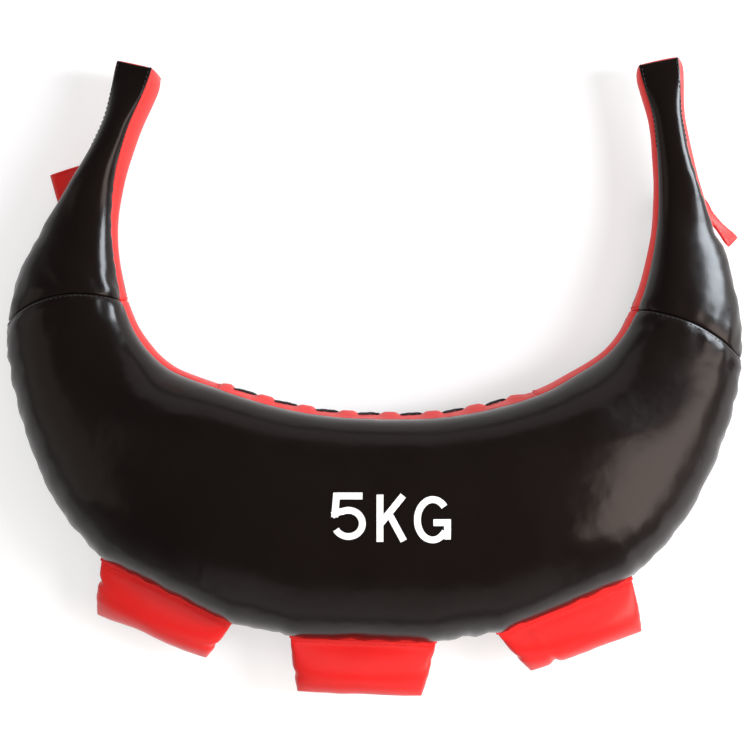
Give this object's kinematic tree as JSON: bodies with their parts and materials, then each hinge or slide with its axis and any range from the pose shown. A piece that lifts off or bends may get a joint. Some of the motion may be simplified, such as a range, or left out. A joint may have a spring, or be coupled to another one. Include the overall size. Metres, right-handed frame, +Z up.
{
  "type": "bulgarian bag",
  "caption": "Crescent-shaped weighted training bag with slim neck handles, padded outer grips, strap loops and a laced filling mouth.",
  "frame": {"origin": "on the floor plane, on the flat of the back panel, under the middle of the belly's centre line", "axes": "+X towards the right arm as the picture shows it, +Y towards the neck tips, +Z up out of the front panel; the bag lies on its back"},
  "size_m": [0.6067, 0.5235, 0.1296],
  "materials": {
    "black_cover": "glossy coated",
    "red_cover": "satin coated",
    "lace_cord": "matte",
    "sand_sack": "matte",
    "textile_wadding": "matte",
    "grip_foam": "matte"
  },
  "bodies": {
    "bag": {"front_belly_panel": "black_cover", "back_belly_panel": "black_cover", "left_neck_front_panel": "black_cover", "left_neck_back_panel": "black_cover", "right_neck_front_panel": "black_cover", "right_neck_back_panel": "black_cover", "left_belly_strip": "red_cover", "right_belly_strip": "red_cover", "left_neck_strip": "red_cover", "right_neck_strip": "red_cover", "front_lacing_flap": "red_cover", "back_lacing_flap": "red_cover", "lacing_tongue": "red_cover", "lace": "lace_cord", "sand_tube": "sand_sack", "front_wadding": "textile_wadding", "back_wadding": "textile_wadding", "left_neck_core": "textile_wadding", "right_neck_core": "textile_wadding", "left_grip_welt": "red_cover", "centre_grip_welt": "red_cover", "right_grip_welt": "red_cover", "left_strap_welt": "red_cover", "right_strap_welt": "red_cover"},
    "left_grip": {"left_grip_cover": "red_cover", "left_grip_foam": "grip_foam"},
    "centre_grip": {"centre_grip_cover": "red_cover", "centre_grip_foam": "grip_foam"},
    "right_grip": {"right_grip_cover": "red_cover", "right_grip_foam": "grip_foam"},
    "left_strap": {"left_neck_strap": "red_cover"},
    "right_strap": {"right_neck_strap": "red_cover"}
  },
  "joints": [
    {"name": "left_grip_hinge", "type": "hinge", "parent": "bag", "child": "left_grip", "pos_m": [-0.16948, -0.05141, 0.05861], "axis": [-0.9017, 0.4314, -0.0286], "range_deg": [-23, 85], "stiffness_Nm_per_rad": 0.15, "springref_deg": 5.73},
    {"name": "centre_grip_hinge", "type": "hinge", "parent": "bag", "child": "centre_grip", "pos_m": [-0.00956, -0.09001, 0.06086], "axis": [-0.9993, 0.037, -0.0012], "range_deg": [-41, 67], "stiffness_Nm_per_rad": 0.15, "springref_deg": 5.73},
    {"name": "right_grip_hinge", "type": "hinge", "parent": "bag", "child": "right_grip", "pos_m": [0.15418, -0.06327, 0.05889], "axis": [-0.9282, -0.3712, 0.0272], "range_deg": [-31, 77], "stiffness_Nm_per_rad": 0.15, "springref_deg": 5.73},
    {"name": "left_strap_hinge", "type": "hinge", "parent": "bag", "child": "left_strap", "pos_m": [-0.22569, 0.28789, 0.01089], "axis": [-0.0018, 0.9998, 0.022], "range_deg": [-75, 0], "stiffness_Nm_per_rad": 0.02},
    {"name": "right_strap_hinge", "type": "hinge", "parent": "bag", "child": "right_strap", "pos_m": [0.26131, 0.26621, 0.01451], "axis": [-0.1914, -0.9815, 0.0002], "range_deg": [-75, 0], "stiffness_Nm_per_rad": 0.02}
  ]
}
